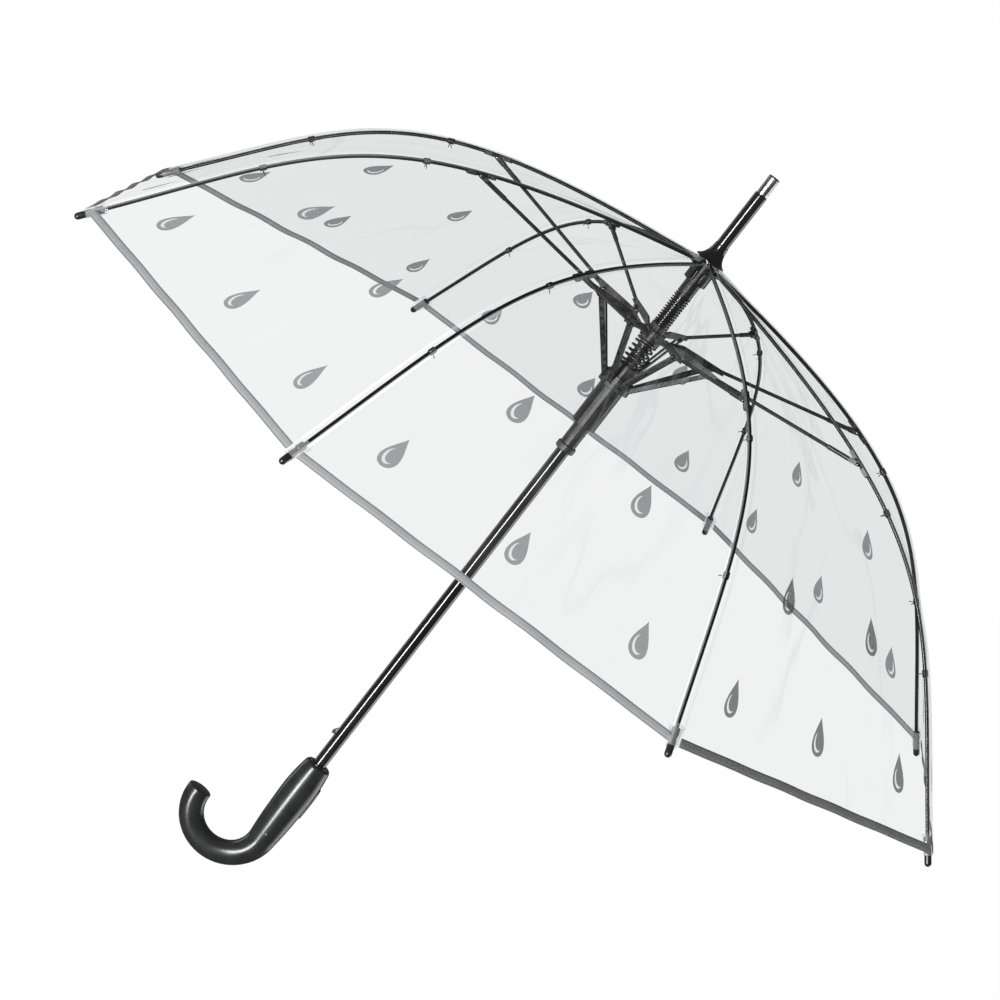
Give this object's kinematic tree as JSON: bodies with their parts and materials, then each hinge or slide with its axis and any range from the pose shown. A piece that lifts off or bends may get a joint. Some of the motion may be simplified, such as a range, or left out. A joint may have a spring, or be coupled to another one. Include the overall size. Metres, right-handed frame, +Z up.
{
  "type": "clear dome umbrella",
  "caption": "Open stick umbrella with a clear film dome, coupled folding ribs and stretchers, sliding runner, and a hooked handle with a push button.",
  "frame": {"origin": "middle of the hand grip, on the shaft's axis", "axes": "+Z up along the shaft towards the ferrule; the hook bends towards -X and the push button faces +X"},
  "size_m": [0.95, 0.95, 0.8483],
  "materials": {
    "black_metal": "gloss black coated steel tube",
    "black_moulding": "gloss black moulded nylon",
    "dark_moulding": "satin dark grey moulded nylon",
    "rib_fibre": "gloss black fibreglass",
    "handle_skin": "satin anthracite moulded plastic",
    "cap_grey": "satin grey metal",
    "clear_film": "clear flexible film",
    "spring_steel": "drawn spring steel",
    "pin_steel": "polished steel pin"
  },
  "bodies": {
    "shaft_assembly": {"shaft_tube": "black_metal", "crown": "black_moulding", "ferrule": "black_moulding", "ferrule_cap": "cap_grey", "handle": "handle_skin", "handle_pin": "pin_steel", "buffer_spring": "spring_steel"},
    "ring_slider": {"spring_ring": "dark_moulding"},
    "runner_slider": {"runner": "dark_moulding", "opening_spring": "spring_steel"},
    "button": {"push_button": "dark_moulding"},
    "catch": {"runner_catch": "spring_steel"},
    "rib_arm_1": {"rib_1": "rib_fibre", "rib_tip_1": "black_moulding", "rib_bracket_1": "black_metal", "canopy_panel_1": "clear_film"},
    "stretcher_arm_1": {"stretcher_1": "black_metal"},
    "link_arm_1": {"link_1": "black_metal"},
    "rib_arm_2": {"rib_2": "rib_fibre", "rib_tip_2": "black_moulding", "rib_bracket_2": "black_metal", "canopy_panel_2": "clear_film"},
    "stretcher_arm_2": {"stretcher_2": "black_metal"},
    "link_arm_2": {"link_2": "black_metal"},
    "rib_arm_3": {"rib_3": "rib_fibre", "rib_tip_3": "black_moulding", "rib_bracket_3": "black_metal", "canopy_panel_3": "clear_film"},
    "stretcher_arm_3": {"stretcher_3": "black_metal"},
    "link_arm_3": {"link_3": "black_metal"},
    "rib_arm_4": {"rib_4": "rib_fibre", "rib_tip_4": "black_moulding", "rib_bracket_4": "black_metal", "canopy_panel_4": "clear_film"},
    "stretcher_arm_4": {"stretcher_4": "black_metal"},
    "link_arm_4": {"link_4": "black_metal"},
    "rib_arm_5": {"rib_5": "rib_fibre", "rib_tip_5": "black_moulding", "rib_bracket_5": "black_metal", "canopy_panel_5": "clear_film"},
    "stretcher_arm_5": {"stretcher_5": "black_metal"},
    "link_arm_5": {"link_5": "black_metal"},
    "rib_arm_6": {"rib_6": "rib_fibre", "rib_tip_6": "black_moulding", "rib_bracket_6": "black_metal", "canopy_panel_6": "clear_film"},
    "stretcher_arm_6": {"stretcher_6": "black_metal"},
    "link_arm_6": {"link_6": "black_metal"},
    "rib_arm_7": {"rib_7": "rib_fibre", "rib_tip_7": "black_moulding", "rib_bracket_7": "black_metal", "canopy_panel_7": "clear_film"},
    "stretcher_arm_7": {"stretcher_7": "black_metal"},
    "link_arm_7": {"link_7": "black_metal"},
    "rib_arm_8": {"rib_8": "rib_fibre", "rib_tip_8": "black_moulding", "rib_bracket_8": "black_metal", "canopy_panel_8": "clear_film"},
    "stretcher_arm_8": {"stretcher_8": "black_metal"},
    "link_arm_8": {"link_8": "black_metal"}
  },
  "joints": [
    {"name": "canopy_fold", "type": "hinge", "parent": "shaft_assembly", "child": "rib_arm_1", "pos_m": [-0.00878, -0.00364, 0.633], "axis": [0.3827, -0.9239, 0], "range_deg": [0, 61], "stiffness_Nm_per_rad": 4, "springref_deg": -68.75, "deforming": ["canopy_panel_1"]},
    {"name": "rib_fold_2", "type": "hinge", "parent": "shaft_assembly", "child": "rib_arm_2", "pos_m": [-0.00364, -0.00878, 0.633], "axis": [0.9239, -0.3827, 0], "range_deg": [0, 61], "deforming": ["canopy_panel_2"]},
    {"name": "rib_fold_3", "type": "hinge", "parent": "shaft_assembly", "child": "rib_arm_3", "pos_m": [0.00364, -0.00878, 0.633], "axis": [0.9239, 0.3827, 0], "range_deg": [0, 61], "deforming": ["canopy_panel_3"]},
    {"name": "rib_fold_4", "type": "hinge", "parent": "shaft_assembly", "child": "rib_arm_4", "pos_m": [0.00878, -0.00364, 0.633], "axis": [0.3827, 0.9239, 0], "range_deg": [0, 61], "deforming": ["canopy_panel_4"]},
    {"name": "rib_fold_5", "type": "hinge", "parent": "shaft_assembly", "child": "rib_arm_5", "pos_m": [0.00878, 0.00364, 0.633], "axis": [-0.3827, 0.9239, 0], "range_deg": [0, 61], "deforming": ["canopy_panel_5"]},
    {"name": "rib_fold_6", "type": "hinge", "parent": "shaft_assembly", "child": "rib_arm_6", "pos_m": [0.00364, 0.00878, 0.633], "axis": [-0.9239, 0.3827, 0], "range_deg": [0, 61], "deforming": ["canopy_panel_6"]},
    {"name": "rib_fold_7", "type": "hinge", "parent": "shaft_assembly", "child": "rib_arm_7", "pos_m": [-0.00364, 0.00878, 0.633], "axis": [-0.9239, -0.3827, 0], "range_deg": [0, 61], "deforming": ["canopy_panel_7"]},
    {"name": "rib_fold_8", "type": "hinge", "parent": "shaft_assembly", "child": "rib_arm_8", "pos_m": [-0.00878, 0.00364, 0.633], "axis": [-0.3827, -0.9239, 0], "range_deg": [0, 61], "deforming": ["canopy_panel_8"]},
    {"name": "stretcher_swing_1", "type": "hinge", "parent": "rib_arm_1", "child": "stretcher_arm_1", "pos_m": [-0.21397, -0.08863, 0.5987], "axis": [0.3827, -0.9239, 0], "range_deg": [-122, 0]},
    {"name": "stretcher_swing_2", "type": "hinge", "parent": "rib_arm_2", "child": "stretcher_arm_2", "pos_m": [-0.08863, -0.21397, 0.5987], "axis": [0.9239, -0.3827, 0], "range_deg": [-122, 0]},
    {"name": "stretcher_swing_3", "type": "hinge", "parent": "rib_arm_3", "child": "stretcher_arm_3", "pos_m": [0.08863, -0.21397, 0.5987], "axis": [0.9239, 0.3827, 0], "range_deg": [-122, 0]},
    {"name": "stretcher_swing_4", "type": "hinge", "parent": "rib_arm_4", "child": "stretcher_arm_4", "pos_m": [0.21397, -0.08863, 0.5987], "axis": [0.3827, 0.9239, 0], "range_deg": [-122, 0]},
    {"name": "stretcher_swing_5", "type": "hinge", "parent": "rib_arm_5", "child": "stretcher_arm_5", "pos_m": [0.21397, 0.08863, 0.5987], "axis": [-0.3827, 0.9239, 0], "range_deg": [-122, 0]},
    {"name": "stretcher_swing_6", "type": "hinge", "parent": "rib_arm_6", "child": "stretcher_arm_6", "pos_m": [0.08863, 0.21397, 0.5987], "axis": [-0.9239, 0.3827, 0], "range_deg": [-122, 0]},
    {"name": "stretcher_swing_7", "type": "hinge", "parent": "rib_arm_7", "child": "stretcher_arm_7", "pos_m": [-0.08863, 0.21397, 0.5987], "axis": [-0.9239, -0.3827, 0], "range_deg": [-122, 0]},
    {"name": "stretcher_swing_8", "type": "hinge", "parent": "rib_arm_8", "child": "stretcher_arm_8", "pos_m": [-0.21397, 0.08863, 0.5987], "axis": [-0.3827, -0.9239, 0], "range_deg": [-122, 0]},
    {"name": "ring_upright", "type": "hinge", "parent": "stretcher_arm_1", "child": "ring_slider", "pos_m": [-0.00878, -0.00364, 0.5644], "axis": [0.3827, -0.9239, 0], "range_deg": [0, 61]},
    {"name": "runner_rise", "type": "slide", "parent": "ring_slider", "child": "runner_slider", "axis": [0, 0, 1], "range_m": [0, 0.0296], "deforming": ["opening_spring"]},
    {"name": "link_swing_1", "type": "hinge", "parent": "runner_slider", "child": "link_arm_1", "pos_m": [-0.01432, -0.00593, 0.5115], "axis": [0.3827, -0.9239, 0], "range_deg": [-28.53, 0]},
    {"name": "link_swing_2", "type": "hinge", "parent": "runner_slider", "child": "link_arm_2", "pos_m": [-0.00593, -0.01432, 0.5115], "axis": [0.9239, -0.3827, 0], "range_deg": [-28.53, 0]},
    {"name": "link_swing_3", "type": "hinge", "parent": "runner_slider", "child": "link_arm_3", "pos_m": [0.00593, -0.01432, 0.5115], "axis": [0.9239, 0.3827, 0], "range_deg": [-28.53, 0]},
    {"name": "link_swing_4", "type": "hinge", "parent": "runner_slider", "child": "link_arm_4", "pos_m": [0.01432, -0.00593, 0.5115], "axis": [0.3827, 0.9239, 0], "range_deg": [-28.53, 0]},
    {"name": "link_swing_5", "type": "hinge", "parent": "runner_slider", "child": "link_arm_5", "pos_m": [0.01432, 0.00593, 0.5115], "axis": [-0.3827, 0.9239, 0], "range_deg": [-28.53, 0]},
    {"name": "link_swing_6", "type": "hinge", "parent": "runner_slider", "child": "link_arm_6", "pos_m": [0.00593, 0.01432, 0.5115], "axis": [-0.9239, 0.3827, 0], "range_deg": [-28.53, 0]},
    {"name": "link_swing_7", "type": "hinge", "parent": "runner_slider", "child": "link_arm_7", "pos_m": [-0.00593, 0.01432, 0.5115], "axis": [-0.9239, -0.3827, 0], "range_deg": [-28.53, 0]},
    {"name": "link_swing_8", "type": "hinge", "parent": "runner_slider", "child": "link_arm_8", "pos_m": [-0.01432, 0.00593, 0.5115], "axis": [-0.3827, -0.9239, 0], "range_deg": [-28.53, 0]},
    {"name": "button_press", "type": "slide", "parent": "shaft_assembly", "child": "button", "axis": [-1, 0, 0], "range_m": [0, 0.0025], "stiffness_N_per_m": 800, "springref_m": -0.001},
    {"name": "catch_retract", "type": "slide", "parent": "shaft_assembly", "child": "catch", "axis": [1, 0, 0], "range_m": [0, 0.0032]}
  ],
  "couplings": [
    {"joint": "rib_fold_2", "follows": "canopy_fold", "ratio": 1},
    {"joint": "rib_fold_3", "follows": "canopy_fold", "ratio": 1},
    {"joint": "rib_fold_4", "follows": "canopy_fold", "ratio": 1},
    {"joint": "rib_fold_5", "follows": "canopy_fold", "ratio": 1},
    {"joint": "rib_fold_6", "follows": "canopy_fold", "ratio": 1},
    {"joint": "rib_fold_7", "follows": "canopy_fold", "ratio": 1},
    {"joint": "rib_fold_8", "follows": "canopy_fold", "ratio": 1},
    {"joint": "stretcher_swing_1", "follows": "canopy_fold", "ratio": -2},
    {"joint": "stretcher_swing_2", "follows": "canopy_fold", "ratio": -2},
    {"joint": "stretcher_swing_3", "follows": "canopy_fold", "ratio": -2},
    {"joint": "stretcher_swing_4", "follows": "canopy_fold", "ratio": -2},
    {"joint": "stretcher_swing_5", "follows": "canopy_fold", "ratio": -2},
    {"joint": "stretcher_swing_6", "follows": "canopy_fold", "ratio": -2},
    {"joint": "stretcher_swing_7", "follows": "canopy_fold", "ratio": -2},
    {"joint": "stretcher_swing_8", "follows": "canopy_fold", "ratio": -2},
    {"joint": "ring_upright", "follows": "canopy_fold", "ratio": 1},
    {"joint": "runner_rise", "follows": "canopy_fold", "m_per_rad": 0.027736},
    {"joint": "link_swing_1", "follows": "canopy_fold", "ratio": -0.46687},
    {"joint": "link_swing_2", "follows": "canopy_fold", "ratio": -0.46687},
    {"joint": "link_swing_3", "follows": "canopy_fold", "ratio": -0.46687},
    {"joint": "link_swing_4", "follows": "canopy_fold", "ratio": -0.46687},
    {"joint": "link_swing_5", "follows": "canopy_fold", "ratio": -0.46687},
    {"joint": "link_swing_6", "follows": "canopy_fold", "ratio": -0.46687},
    {"joint": "link_swing_7", "follows": "canopy_fold", "ratio": -0.46687},
    {"joint": "link_swing_8", "follows": "canopy_fold", "ratio": -0.46687},
    {"joint": "catch_retract", "follows": "button_press", "ratio": 1.28}
  ]
}
